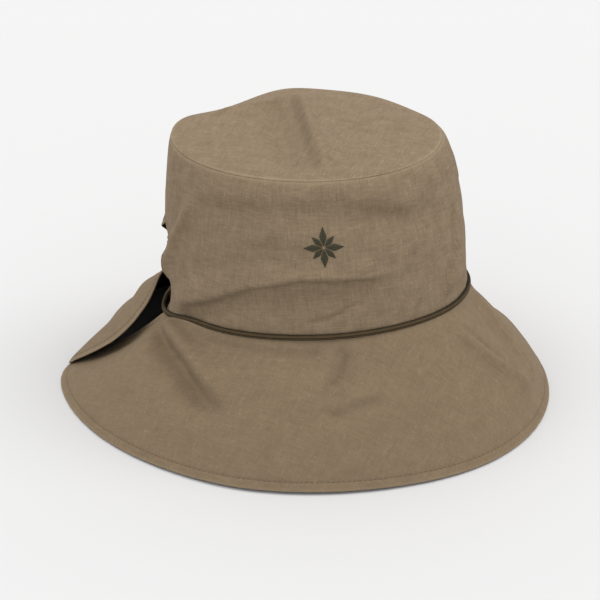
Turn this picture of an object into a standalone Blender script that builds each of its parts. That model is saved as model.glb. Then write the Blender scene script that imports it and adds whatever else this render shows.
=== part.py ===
"""A soft bucket hat with a wide brim, lying on a table by itself.

The crown is a side band with an oval tip panel on top. The brim is one strip round the
crown, split at the back, where its far end laps over its near end. Above the split the
side band has an open keyhole. A thin cord runs round the seam between crown and brim.
Front is +X, back is -X, and the table is z = 0. Lengths are metres, angles degrees.

Angles run once round the hat from the back split: 200 is its near end, 270 the near side
(-Y), 360 the front, 450 the far side and 540 its far end.
"""

import bmesh
import bpy
import numpy as np

# Cloth and clearance
WALL = 0.0016
GAP = 0.0003

# Crown base ring, where crown and brim are sewn together
HEAD_LENGTH = 0.1926
HEAD_WIDTH = 0.1611
HEAD_FORWARD = 0.0040
HEAD_ASIDE = -0.0048
BASE_HEIGHT = 0.0669
BASE_BACK_DROP = 0.0106
BASE_FAR_DROP = 0.0049
BASE_SIDE_RISE = 0.0010

# Tip ring, where the side band meets the tip panel
CROWN_HEIGHT = 0.0977
TIP_LENGTH = 0.1662
TIP_WIDTH = 0.1451
TIP_FORWARD = -0.0058
TIP_ASIDE = 0.0089
TIP_FRONT_RISE = 0.0021
TIP_DOME = 0.0030
TIP_DENT = 0.0070
SIDE_BELLY = 0.0040
FRONT_BELLY = 0.0020

# Rim, which lies on the table
RIM_FORWARD = -0.0058
RIM_ASIDE = 0.0006
RIM_LENGTH = 0.3234
RIM_WIDTH = 0.2786
RIM_BULGE = 0.0030
BRIM_BELLY = 0.0026

# Keyhole at the back of the side band
KEYHOLE_HEIGHT = 0.0495
KEYHOLE_WIDTH = 0.0353
KEYHOLE_ANGLE = 194.5
KEYHOLE_TOP_ANGLE = 204.0
SEAM_SPREAD = 7.0
JOIN_START = 0.45

# Corners of the split at the crown: the near one sags, the far one stands up and out
CORNER_DROP = 0.0070
CORNER_LIFT = 0.0085
CORNER_SPREAD = 16.0

# Split of the brim. The near end runs back under the flap, as the far end laps over it.
NEAR_TUCK_ANGLE = 20.0
FAR_LAP_ANGLE = 14.0
FAR_LAP_START = 0.12
FAR_LAP_BULGE = 5.0
FLAP_RIM_LIFT = 0.0032
FLAP_SPREAD = 26.0
FLAP_SAG = 0.0040
FLAP_PULL = 0.0135
FLAP_PULL_ANGLE = 538.0
FLAP_PULL_SPREAD = 20.0
NEAR_SAG = 0.0128
NEAR_SAG_SPREAD = 16.0
NEAR_PULL = 0.0165
NEAR_PULL_SPREAD = 11.0

# Cord round the crown base
CORD_DIAMETER = 0.0036
CORD_RISE = 0.0022
CORD_GAP = 0.0008

# Depth of the cloth's folds, which the tables below give as shares of it
FOLD = 0.0040

# Folds of the side band. Each runs along a straight line on the unrolled band.
# from_angle, from_rise, to_angle, to_rise: the line's ends, rises as shares of CROWN_HEIGHT
# width: half the fold's width as a share of CROWN_HEIGHT; depth: share of FOLD, + outwards
SIDE_FOLDS = (
    dict(from_angle=226, from_rise=0.14, to_angle=262, to_rise=0.38, width=0.07, depth=0.45),
    dict(from_angle=262, from_rise=0.38, to_angle=304, to_rise=0.45, width=0.07, depth=0.45),
    dict(from_angle=228, from_rise=0.03, to_angle=262, to_rise=0.24, width=0.08, depth=-0.50),
    dict(from_angle=262, from_rise=0.24, to_angle=302, to_rise=0.32, width=0.08, depth=-0.45),
    dict(from_angle=293, from_rise=0.81, to_angle=336, to_rise=0.69, width=0.14, depth=-0.45),
    dict(from_angle=218, from_rise=0.44, to_angle=232, to_rise=0.72, width=0.07, depth=0.55),
    dict(from_angle=222, from_rise=0.92, to_angle=222, to_rise=0.60, width=0.07, depth=-0.45),
    dict(from_angle=343, from_rise=0.20, to_angle=350, to_rise=0.45, width=0.08, depth=0.50),
    dict(from_angle=210, from_rise=0.29, to_angle=212, to_rise=0.40, width=0.10, depth=1.30),
    dict(from_angle=540, from_rise=0.10, to_angle=546, to_rise=0.34, width=0.20, depth=-1.50),
    dict(from_angle=410, from_rise=0.30, to_angle=440, to_rise=0.42, width=0.14, depth=0.60),
    dict(from_angle=480, from_rise=0.20, to_angle=500, to_rise=0.60, width=0.14, depth=-0.60),
)

# Folds of the brim, in the same terms, with reach 0 at the crown and 1 at the rim
BRIM_FOLDS = (
    dict(from_angle=226, from_reach=0.08, to_angle=253, to_reach=0.50, width=0.12, depth=-0.70),
    dict(from_angle=216, from_reach=0.10, to_angle=232, to_reach=0.60, width=0.12, depth=0.40),
    dict(from_angle=236, from_reach=0.08, to_angle=285, to_reach=0.14, width=0.09, depth=-0.50),
    dict(from_angle=294, from_reach=0.16, to_angle=290, to_reach=0.49, width=0.10, depth=-0.35),
    dict(from_angle=341, from_reach=0.18, to_angle=354, to_reach=0.66, width=0.14, depth=0.50),
    dict(from_angle=386, from_reach=0.06, to_angle=387, to_reach=0.30, width=0.20, depth=-1.60),
    dict(from_angle=412, from_reach=0.10, to_angle=418, to_reach=0.80, width=0.22, depth=0.60),
    dict(from_angle=452, from_reach=0.15, to_angle=446, to_reach=0.75, width=0.22, depth=-0.60),
    dict(from_angle=496, from_reach=0.10, to_angle=500, to_reach=0.80, width=0.20, depth=0.60),
    dict(from_angle=538, from_reach=0.16, to_angle=530, to_reach=0.44, width=0.15, depth=1.10),
)

# Where the crown's upper edge has sunk: middle angle, half width in degrees, share of TIP_DENT
TIP_DENTS = (
    dict(angle=506, spread=23, depth=1.00),
    dict(angle=410, spread=18, depth=0.30),
)

# Where the rim runs wider than its oval: middle angle, half width in degrees, share of RIM_BULGE
RIM_BULGES = (
    dict(angle=264, spread=20, depth=0.40),
    dict(angle=304, spread=20, depth=-0.45),
    dict(angle=512, spread=10, depth=1.00),
)

# Folds of the tip panel. Ends are shares of half TIP_LENGTH and half TIP_WIDTH.
# width: share of half TIP_WIDTH; depth: share of FOLD, + upwards
TIP_FOLDS = (
    dict(from_x=-0.23, from_y=0.61, to_x=0.28, to_y=-0.66, width=0.16, depth=0.55),
    dict(from_x=-0.74, from_y=0.18, to_x=-0.23, to_y=0.61, width=0.16, depth=0.90),
    dict(from_x=-0.50, from_y=-0.10, to_x=-0.12, to_y=-0.30, width=0.30, depth=-0.50),
    dict(from_x=0.25, from_y=0.45, to_x=0.65, to_y=0.10, width=0.16, depth=0.35),
)

# Grid steps: how many faces go along and across each sheet
SIDE_STEPS = (64, 13)
BRIM_STEPS = (78, 8)
TIP_STEPS = 14

CLOTH_COLOUR = (0.235, 0.168, 0.110, 1.0)
CORD_COLOUR = (0.045, 0.034, 0.018, 1.0)


def along(turns):
    """Cosine and sine of angles in degrees."""
    radians = np.radians(turns)
    return np.cos(radians), np.sin(radians)


def hump(distance, spread):
    """A smooth bump: 1 at distance 0, falling to about a third one spread away."""
    return np.exp(-((distance / spread) ** 2))


def fold_height(u, v, ends, width):
    """A ridge along the line between two ends: 1 on the line, fading one width away from it."""
    (u0, v0), (u1, v1) = ends
    length_squared = (u1 - u0) ** 2 + (v1 - v0) ** 2
    share = np.clip(((u - u0) * (u1 - u0) + (v - v0) * (v1 - v0)) / length_squared, 0, 1)
    return hump(np.hypot(u - u0 - share * (u1 - u0), v - v0 - share * (v1 - v0)), width)


def near_corner(turns):
    """How much a place belongs to the near corner of the split, from 1 to 0."""
    return hump(turns - near_edge(0.0), CORNER_SPREAD)


def far_corner(turns):
    """How much a place belongs to the far corner of the split, from 1 to 0."""
    return hump(turns - far_edge(0.0), CORNER_SPREAD)


def keyhole_half_angle(rise):
    """Half the keyhole's angle at a rise, a share of CROWN_HEIGHT: an arch that closes at its top."""
    share = np.clip(np.asarray(rise) * CROWN_HEIGHT / KEYHOLE_HEIGHT, 0, 1)
    half = np.degrees(KEYHOLE_WIDTH / HEAD_LENGTH)
    return half * (1 - 0.22 * share) * np.sqrt(1 - share**8)


def keyhole_middle(rise):
    share = np.clip(np.asarray(rise) * CROWN_HEIGHT / KEYHOLE_HEIGHT, 0, 1)
    return KEYHOLE_ANGLE + (KEYHOLE_TOP_ANGLE - KEYHOLE_ANGLE) * share


def near_edge(rise):
    """Angle of the side band's near edge at the keyhole."""
    return keyhole_middle(rise) + keyhole_half_angle(rise)


def far_edge(rise):
    """Angle of the side band's far edge at the keyhole, one turn further on."""
    return 360 + keyhole_middle(rise) - keyhole_half_angle(rise)


def joined(rise):
    """How far the two sides of the keyhole have come together: 0 low down, 1 from its top on."""
    share = np.asarray(rise) * CROWN_HEIGHT / KEYHOLE_HEIGHT
    closing = np.clip((share - JOIN_START) / (1 - JOIN_START), 0, 1)
    return closing * closing * (3 - 2 * closing)


def outwards(turns, length, width):
    """Unit vectors that point straight out of an oval, level with the table."""
    c, s = along(turns)
    out = np.stack([c * width, s * length, 0 * c], -1)
    return out / np.linalg.norm(out, axis=-1, keepdims=True)


def base_ring(turns, parted=1.0):
    """The sewn ring: an oval that sits lower at the back, and whose corners part at the split."""
    c, s = along(turns)
    x = HEAD_FORWARD + HEAD_LENGTH / 2 * c
    y = HEAD_ASIDE + HEAD_WIDTH / 2 * s
    z = BASE_HEIGHT + BASE_BACK_DROP * c - BASE_FAR_DROP * s - BASE_SIDE_RISE * (2 * c**2 - 1)
    near = parted * near_corner(turns)
    far = parted * far_corner(turns)
    z = z - CORNER_DROP * near + CORNER_LIFT * far
    ring = np.stack([x, y, z], -1)
    spread = CORNER_LIFT / 2 * far
    return ring + spread[..., None] * outwards(turns, HEAD_LENGTH, HEAD_WIDTH)


def tip_dent(turns):
    """How far the crown's upper edge has sunk at an angle."""
    depth = 0 * turns
    for row in TIP_DENTS:
        away = (turns - row["angle"] + 180) % 360 - 180
        depth = depth + TIP_DENT * row["depth"] * hump(away, row["spread"])
    return depth


def tip_ring(turns):
    """The upper edge of the side band: a smaller oval, tilted a little."""
    c, s = along(turns)
    x = TIP_FORWARD + TIP_LENGTH / 2 * c
    y = TIP_ASIDE + TIP_WIDTH / 2 * s
    z = BASE_HEIGHT + CROWN_HEIGHT + TIP_FRONT_RISE * c - tip_dent(turns)
    return np.stack([x, y, z], -1)


def rim_ring(turns):
    """The brim's outer edge on the table."""
    c, s = along(turns)
    x = RIM_FORWARD + RIM_LENGTH / 2 * c
    y = RIM_ASIDE + RIM_WIDTH / 2 * s
    ring = np.stack([x, y, 0 * c], -1)
    for row in RIM_BULGES:
        wider = RIM_BULGE * row["depth"] * hump(turns - row["angle"], row["spread"])
        ring += wider[..., None] * outwards(turns, RIM_LENGTH, RIM_WIDTH)
    return ring


def side_folds(turns, rise):
    """All folds of the side band at once, as a depth outwards."""
    arc = HEAD_LENGTH / 2 * np.radians(turns)
    depth = 0 * arc
    for row in SIDE_FOLDS:
        ends = [
            (HEAD_LENGTH / 2 * np.radians(row[end + "_angle"]), CROWN_HEIGHT * row[end + "_rise"])
            for end in ("from", "to")
        ]
        ridge = fold_height(arc, rise * CROWN_HEIGHT, ends, row["width"] * CROWN_HEIGHT)
        depth = depth + FOLD * row["depth"] * ridge
    at_seam = hump(turns - near_edge(rise), SEAM_SPREAD) + hump(turns - far_edge(rise), SEAM_SPREAD)
    return depth * np.clip(8 * (1 - rise), 0, 1) * (1 - joined(rise) * at_seam)


def side_sheet(turns, rise):
    """The side band: straight from base ring to tip ring, then swollen into a rounded shoulder."""
    base = base_ring(turns, 1 - joined(rise))
    tip = tip_ring(turns)
    swell = SIDE_BELLY + FRONT_BELLY * along(turns)[0]
    belly = swell * 2 * rise * np.sqrt(np.clip(1 - rise**2, 0, 1))
    depth = belly + side_folds(turns, rise)
    out = outwards(turns, HEAD_LENGTH, HEAD_WIDTH)
    return base + rise[..., None] * (tip - base) + depth[..., None] * out


def near_split(reach):
    """Angle of the brim's near end, which runs back under the flap towards the rim."""
    return near_edge(0.0) - NEAR_TUCK_ANGLE * reach


def far_split(reach):
    """Angle of the brim's far end, the flap's edge: it laps over quickly, then runs to the rim."""
    lapped = 1 - np.exp(-reach / FAR_LAP_START)
    return far_edge(0.0) + FAR_LAP_ANGLE * lapped + FAR_LAP_BULGE * np.sin(np.pi * reach)


def brim_slant():
    """The brim's width along the cloth at the far side."""
    run = (RIM_WIDTH - HEAD_WIDTH) / 2
    return float(np.hypot(run, BASE_HEIGHT))


def brim_folds(turns, reach):
    """All folds of the brim at once, as a depth upwards. The rim itself stays on the table."""
    radius = (HEAD_LENGTH + RIM_LENGTH) / 4
    slant = brim_slant()
    arc = radius * np.radians(turns)
    depth = 0 * arc
    for row in BRIM_FOLDS:
        ends = [
            (radius * np.radians(row[end + "_angle"]), slant * row[end + "_reach"])
            for end in ("from", "to")
        ]
        ridge = fold_height(arc, reach * slant, ends, row["width"] * slant)
        depth = depth + FOLD * row["depth"] * ridge
    return depth * np.clip(6 * (1 - reach), 0, 1) * np.clip(10 * reach, 0, 1)


def brim_sheet(turns, reach):
    """The brim: straight from base ring to rim, bowed upwards, its far end lifted as a flap."""
    base = base_ring(turns)
    base[..., 2] -= WALL / 2 + GAP
    rim = rim_ring(turns)
    line = rim - base
    flat = outwards(turns, RIM_LENGTH, RIM_WIDTH)
    run = np.sum(line * flat, -1)
    up = -line[..., 2:] * flat
    up[..., 2] += run
    up /= np.linalg.norm(up, axis=-1, keepdims=True)
    depth = BRIM_BELLY * 4 * reach * (1 - reach) + brim_folds(turns, reach)
    sheet = base + reach[..., None] * line + depth[..., None] * up
    sheet[..., 2] += FLAP_RIM_LIFT * reach * hump(turns - far_split(1.0), FLAP_SPREAD)
    pull = hump(turns - FLAP_PULL_ANGLE, FLAP_PULL_SPREAD)
    sheet -= (FLAP_PULL * pull * reach)[..., None] * flat
    sheet[..., 2] -= FLAP_SAG * pull * np.sin(np.pi * reach)
    sag = hump(turns - near_split(reach), NEAR_SAG_SPREAD) * np.sin(np.pi * reach)
    sheet[..., 2] -= NEAR_SAG * sag
    tuck = hump(turns - near_split(1.0), NEAR_PULL_SPREAD)
    sheet -= (NEAR_PULL * tuck * reach)[..., None] * flat
    return sheet


def tip_sheet(u, v):
    """The tip panel: a square grid pulled into an oval, domed, with its folds."""
    x = u * np.sqrt(1 - v**2 / 2)
    y = v * np.sqrt(1 - u**2 / 2)
    z = BASE_HEIGHT + CROWN_HEIGHT + TIP_FRONT_RISE * x + WALL + GAP
    z = z - tip_dent(np.degrees(np.arctan2(y, x))) * (x**2 + y**2) ** 2
    middle = np.clip(1 - x**2 - y**2, 0, 1)
    depth = TIP_DOME * middle**0.7
    for row in TIP_FOLDS:
        ends = [(row[end + "_x"], row[end + "_y"]) for end in ("from", "to")]
        ridge = fold_height(x, y, ends, row["width"])
        depth = depth + FOLD * row["depth"] * ridge * np.clip(4 * middle, 0, 1)
    reach = WALL / 2
    px = TIP_FORWARD + (TIP_LENGTH / 2 + reach) * x
    py = TIP_ASIDE + (TIP_WIDTH / 2 + reach) * y
    return np.stack([px, py, z + depth], -1)


def side_rises(share):
    """Rises of the side band's rows: closer together towards the keyhole's top, one exactly on it."""
    top = KEYHOLE_HEIGHT / CROWN_HEIGHT
    rows = SIDE_STEPS[1]
    lower = rows // 2
    k = share * rows
    below = top * np.sin(np.clip(k / lower, 0, 1) * np.pi / 2)
    return below + (1 - top) * np.clip((k - lower) / (rows - lower), 0, 1)


def cloth_material(name, colour):
    material = bpy.data.materials.new(name)
    material.use_nodes = True
    shader = material.node_tree.nodes["Principled BSDF"]
    shader.inputs["Base Color"].default_value = colour
    shader.inputs["Roughness"].default_value = 0.9
    shader.inputs["Metallic"].default_value = 0.0
    material.diffuse_color = colour
    return material


def grid_object(name, steps, place, material, collection, weld=0.0):
    """A sheet: a flat grid whose points, given as shares from 0 to 1, go where place() says."""
    bm = bmesh.new()
    bmesh.ops.create_grid(bm, x_segments=steps[0], y_segments=steps[1], size=0.5)
    bm.verts.ensure_lookup_table()
    shares = np.array([vert.co[:2] for vert in bm.verts]) + 0.5
    for vert, point in zip(bm.verts, place(shares[:, 0], shares[:, 1])):
        vert.co = point
    if weld:
        bmesh.ops.remove_doubles(bm, verts=bm.verts, dist=weld)
    mesh = bpy.data.meshes.new(name)
    bm.to_mesh(mesh)
    bm.free()
    mesh.materials.append(material)
    mesh.shade_smooth()
    thing = bpy.data.objects.new(name, mesh)
    collection.objects.link(thing)
    return thing


def add_wall(thing):
    """Gives a sheet its cloth thickness, half to each side."""
    wall = thing.modifiers.new("wall", "SOLIDIFY")
    wall.thickness = WALL
    wall.offset = 0.0
    wall.use_even_offset = True
    return wall


def make_side(collection):
    def place(share_round, share_up):
        rise = side_rises(share_up)
        start = near_edge(rise)
        turns = start + share_round * (far_edge(rise) - start)
        return side_sheet(turns, rise)

    side = grid_object(
        "crown_side", SIDE_STEPS, place, cloth_material("side_cloth", CLOTH_COLOUR), collection, weld=GAP / 10
    )
    add_wall(side)


def make_tip(collection):
    def place(share_x, share_y):
        return tip_sheet(2 * share_x - 1, 2 * share_y - 1)

    tip = grid_object(
        "crown_tip", (TIP_STEPS, TIP_STEPS), place, cloth_material("tip_cloth", CLOTH_COLOUR), collection
    )
    add_wall(tip)


def make_brim(collection, cutters):
    def place(share_round, reach):
        start = near_split(reach)
        end = far_split(reach)
        return brim_sheet(start + share_round * (end - start), reach)

    brim = grid_object("brim", BRIM_STEPS, place, cloth_material("brim_cloth", CLOTH_COLOUR), collection)
    add_wall(brim)
    trim_at_table(brim, cutters)


def trim_at_table(thing, cutters):
    """Cuts off what would reach below the table, so that the hem rests on a flat face."""
    bpy.ops.mesh.primitive_cube_add(size=2 * RIM_LENGTH, location=(0, 0, -RIM_LENGTH))
    table = bpy.context.object
    table.name = "table_cut"
    for held in table.users_collection:
        held.objects.unlink(table)
    cutters.objects.link(table)
    table.hide_render = True
    table.display_type = "WIRE"
    cut = thing.modifiers.new("table", "BOOLEAN")
    cut.object = table
    cut.operation = "DIFFERENCE"
    cut.solver = "EXACT"


def cord_route():
    """Points of the cord: beside each column of the side band, just off its outer face."""
    turns = np.linspace(near_edge(0.0), far_edge(0.0), SIDE_STEPS[0] + 1)
    rise = np.full_like(turns, CORD_RISE / CROWN_HEIGHT)
    step = np.full_like(turns, CORD_DIAMETER / CROWN_HEIGHT / 2)
    foot = side_sheet(turns, rise)
    upward = side_sheet(turns, rise + step) - side_sheet(turns, rise - step)
    onward = np.gradient(foot, axis=0)
    face = np.cross(onward, upward)
    face /= np.linalg.norm(face, axis=-1, keepdims=True)
    return foot + (WALL / 2 + CORD_GAP + CORD_DIAMETER / 2) * face


def make_cord(collection):
    points = cord_route()
    curve = bpy.data.curves.new("base_cord", "CURVE")
    curve.dimensions = "3D"
    spline = curve.splines.new("POLY")
    spline.points.add(len(points) - 1)
    for held, point in zip(spline.points, points):
        held.co = (*point, 1.0)
    curve.bevel_depth = CORD_DIAMETER / 2
    curve.bevel_resolution = 2
    curve.use_fill_caps = True
    cord = bpy.data.objects.new("base_cord", curve)
    curve.materials.append(cloth_material("cord_cloth", CORD_COLOUR))
    collection.objects.link(cord)


def main():
    for thing in list(bpy.data.objects):
        bpy.data.objects.remove(thing)
    hat = bpy.data.collections.new("reversible_hat")
    cutters = bpy.data.collections.new("cutters")
    for collection in (hat, cutters):
        bpy.context.scene.collection.children.link(collection)
    make_side(hat)
    make_tip(hat)
    make_brim(hat, cutters)
    make_cord(hat)


main()
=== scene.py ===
# %% [markdown]
# # A soft reversible sun hat
#
# The real hat is sewn from two layers of cloth: a slubby khaki linen outside and a dark olive
# reverse inside. It has five parts that a maker would name: the side band of the crown, the oval
# tip panel on top, the wide brim that laps over itself at the back, a rolled cord round the crown
# and a small embroidered star. This lesson makes each of them as a surface worked out with numpy
# and gives each a finish made of shader nodes.
#
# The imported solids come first. They fix where everything is, so nothing here is placed by eye.

import bpy
import numpy as np
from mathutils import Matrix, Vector


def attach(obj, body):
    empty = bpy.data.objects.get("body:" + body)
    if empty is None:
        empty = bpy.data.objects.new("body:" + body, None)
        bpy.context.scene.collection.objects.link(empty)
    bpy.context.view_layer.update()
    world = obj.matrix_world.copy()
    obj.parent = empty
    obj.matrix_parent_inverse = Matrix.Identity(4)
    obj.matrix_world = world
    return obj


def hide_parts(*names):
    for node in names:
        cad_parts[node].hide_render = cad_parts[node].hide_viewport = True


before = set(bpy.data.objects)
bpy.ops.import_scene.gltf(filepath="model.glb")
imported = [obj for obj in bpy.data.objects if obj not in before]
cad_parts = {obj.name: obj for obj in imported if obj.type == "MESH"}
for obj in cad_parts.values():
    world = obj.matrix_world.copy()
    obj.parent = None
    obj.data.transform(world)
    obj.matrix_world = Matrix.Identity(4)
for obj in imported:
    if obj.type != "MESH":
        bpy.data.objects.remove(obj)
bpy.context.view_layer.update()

# %% [markdown]
# ## The camera
#
# The photograph looks down on the near side of the hat from some way off. A long lens keeps the
# two ends of the brim nearly the same size. The camera stands on a sphere round a target in the
# middle of the hat, so three numbers say where it is: two angles and a distance.

# %% Place the camera
TARGET = Vector((-0.0083, 0.0051, 0.0501))
AZIMUTH, ELEVATION, DISTANCE = np.radians(17.0), np.radians(28.54), 1.035

toward_camera = Vector(
    (
        np.sin(AZIMUTH) * np.cos(ELEVATION),
        -np.cos(AZIMUTH) * np.cos(ELEVATION),
        np.sin(ELEVATION),
    )
)
eye = bpy.data.cameras.new("photo_eye")
eye.lens, eye.sensor_width = 96.0, 36.0
camera = bpy.data.objects.new("photo_eye", eye)
camera.location = TARGET + DISTANCE * toward_camera
camera.rotation_euler = toward_camera.to_track_quat("Z", "Y").to_euler()
bpy.context.scene.collection.objects.link(camera)
bpy.context.scene.camera = camera
print("camera at", [round(c, 3) for c in camera.location])

# %% [markdown]
# ## The hat's own sizes
#
# A hat is made to a head, so every size starts from the ring where crown and brim are sewn
# together. Most of them are the sizes of the solids, and a few are finer here. Lengths are in
# metres and angles in degrees. Angles run once round the hat from the split at the back: 205 is
# the split's near corner, 270 the near side, 360 the front, 450 the far side and 544 the split's
# far corner.

# %% Sizes
CLOTH = 0.0016  # both layers together

HEAD_LENGTH, HEAD_WIDTH = 0.1926, 0.1611
HEAD_FORWARD, HEAD_ASIDE = 0.0040, -0.0048
BASE_HEIGHT, BASE_BACK_DROP, BASE_FAR_DROP, BASE_SIDE_RISE = 0.0669, 0.0106, 0.0049, 0.0010

CROWN_HEIGHT = 0.0977
TIP_LENGTH, TIP_WIDTH = 0.1662, 0.1451
TIP_FORWARD, TIP_ASIDE, TIP_FRONT_RISE = -0.0058, 0.0089, 0.0021
TIP_DOME, TIP_DENT = 0.0030, 0.0070
SIDE_BELLY, FRONT_BELLY = 0.0040, 0.0020

RIM_FORWARD, RIM_ASIDE = -0.0058, 0.0006
RIM_LENGTH, RIM_WIDTH, RIM_BULGE, BRIM_BELLY = 0.3234, 0.2786, 0.0030, 0.0026

KEYHOLE_HEIGHT, KEYHOLE_WIDTH, JOIN_START = 0.0495, 0.0353, 0.72
KEYHOLE_ANGLE, KEYHOLE_TOP_ANGLE, SEAM_SPREAD = 194.5, 204.0, 7.0
KEYHOLE_TAPER, ARCH_POWER = 0.22, 8
CORNER_DROP, CORNER_LIFT, CORNER_SPREAD = 0.0070, 0.0085, 16.0

NEAR_TUCK_ANGLE, FAR_LAP_ANGLE, FAR_LAP_START, FAR_LAP_BULGE = 20.0, 14.0, 0.12, 10.0
FLAP_RIM_LIFT, FLAP_SPREAD = 0.0030, 12.0
FLAP_SAG, FLAP_PULL, FLAP_PULL_ANGLE, FLAP_PULL_SPREAD = 0.0040, 0.0155, 538.0, 21.0
NEAR_SAG, NEAR_SAG_SPREAD, NEAR_PULL, NEAR_PULL_SPREAD = 0.0110, 16.0, 0.0195, 11.0

CORD_WIDTH, CORD_RISE = 0.0035, 0.0022
STITCH_INSET, STITCH_PITCH = 0.0055, 0.0031

# Relief beside the seams: the groove and the puckers of the hem, the gathers of the side band
HEM_GROOVE, HEM_GROOVE_SPREAD = 0.00030, 0.0008
HEM_PUCKER, HEM_PUCKER_SIZE, HEM_PUCKER_SPREAD = 0.00014, 0.0034, 0.004
GATHER, GATHER_SIZE, TOP_GATHER_SPREAD, LOW_GATHER_SPREAD = 0.0003, 0.0045, 0.07, 0.10

# How far brim and tip panel lie over the side band's edges
BRIM_OVER_BAND, TIP_OVER_BAND = 0.95 * CLOTH, 0.3 * CLOTH

# How far the rim's middle stands off the table all round and more on the near side, in CLOTH
RIM_LIFT, NEAR_RIM_LIFT, NEAR_RIM_ANGLE, NEAR_RIM_SPREAD = 0.10, 1.00, 285.0, 45.0

# How steeply folds end at the band's top, the rim, the brim's inner edge and the tip's edge
BAND_FADE, RIM_FADE, SEAM_FADE, TIP_FADE = 8, 6, 10, 4

# Soft crumples of each panel: height, size, seed of the chance numbers
SIDE_CRUMPLES = ((0.00045, 0.019, 3), (0.00022, 0.008, 4))
BRIM_CRUMPLES = ((0.00050, 0.021, 7), (0.00020, 0.009, 8))
TIP_CRUMPLES = ((0.0005, 0.020, 11), (0.0002, 0.008, 12))
GATHER_SEED, HEM_PUCKER_SEED = 5, 9

# Where the crown's upper edge has sunk, or risen where the share is negative: middle angle, half
# width in degrees, share of TIP_DENT
TIP_DENTS = ((506, 23, 1.00), (410, 18, 0.30), (474, 14, -0.24))

# Where the rim runs wider than its oval, or inside it: the same with a share of RIM_BULGE
RIM_BULGES = ((270, 12, 0.35), (304, 20, -0.75), (512, 10, 1.00))
print("rim", RIM_LENGTH, "x", RIM_WIDTH, "m, crown", CROWN_HEIGHT, "m high")

# %% [markdown]
# ## Folds
#
# Cloth that lies by itself keeps creases. A crease is described by the line it follows on the
# flat panel, with a width and a depth, and it is one of two shapes. A ridge stands up, or sinks
# where its depth is negative. A tuck is a step: the cloth swells out on one side of the line and
# sinks on the other, which is what makes the dark lines on the crown. Sculpting by hand would
# work too, but a table of lines can be read and changed.
#
# Each row gives the shape, the width and depth in millimetres, and then the line as pairs: an
# angle and a share, from 0 at the lower or inner edge of the panel to 1 at its other edge.

# %% The folds of the side band and the brim
SIDE_FOLDS = (
    ("ridge", 7.0, 2.6, (226, 0.15), (262, 0.39), (304, 0.46)),
    ("ridge", 7.0, -2.6, (228, 0.02), (262, 0.23), (302, 0.31)),
    ("tuck", 3.2, 1.7, (220, 0.08), (226, 0.10), (243, 0.19), (262, 0.33), (281, 0.41),
     (302, 0.39), (320, 0.37)),
    ("tuck", 2.4, 0.9, (280, 0.13), (289, 0.15), (293, 0.18), (299, 0.23), (305, 0.25)),
    ("ridge", 11.0, -3.4, (293, 0.81), (336, 0.69)),
    ("ridge", 5.5, 3.4, (217, 0.42), (232, 0.72)),
    ("ridge", 3.0, 1.0, (213, 0.38), (219, 0.46), (232, 0.72), (236, 0.84)),
    ("ridge", 5.5, -1.8, (222, 0.92), (222, 0.60)),
    ("ridge", 6.0, 2.6, (343, 0.20), (350, 0.45)),
    ("tuck", 3.4, -1.4, (338, 0.10), (342, 0.20), (348, 0.38), (351, 0.56), (355, 0.70)),
    ("tuck", 9.0, 1.5, (232, 0.78), (246, 0.83), (261, 0.86), (280, 0.88), (296, 0.90)),
    ("tuck", 9.0, 1.3, (296, 0.86), (306, 0.85), (318, 0.78), (332, 0.69)),
    ("ridge", 8.5, 4.7, (209, 0.29), (211, 0.35)),
    ("ridge", 7.5, -5.5, (207, 0.13), (209, 0.19)),
    ("ridge", 4.5, -4.4, (208, 0.44), (212, 0.46)),
    ("ridge", 6.0, 4.4, (558, 0.40), (552, 0.45)),
    ("ridge", 18.0, -6.0, (540, 0.10), (546, 0.34)),
    ("ridge", 13.0, 2.4, (410, 0.30), (440, 0.42)),
    ("tuck", 3.0, 0.9, (400, 0.20), (418, 0.34), (440, 0.42), (462, 0.36)),
    ("ridge", 13.0, -2.4, (480, 0.20), (500, 0.60)),
    ("tuck", 3.0, 0.8, (470, 0.62), (492, 0.70), (512, 0.66)),
    ("ridge", 2.6, 0.9, (367, 0.72), (371, 0.90), (372, 0.99)),
    ("ridge", 3.4, -1.1, (362, 0.78), (366, 0.92), (366, 0.99)),
    ("ridge", 4.0, 0.35, (256, 0.63), (272, 0.66), (284, 0.63)),
    ("ridge", 3.6, -0.35, (252, 0.56), (268, 0.60), (280, 0.57)),
    ("ridge", 4.0, 0.30, (305, 0.55), (322, 0.52), (336, 0.55)),
    ("ridge", 2.2, 0.45, (228, 0.28), (240, 0.25), (250, 0.27)),
)

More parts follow.
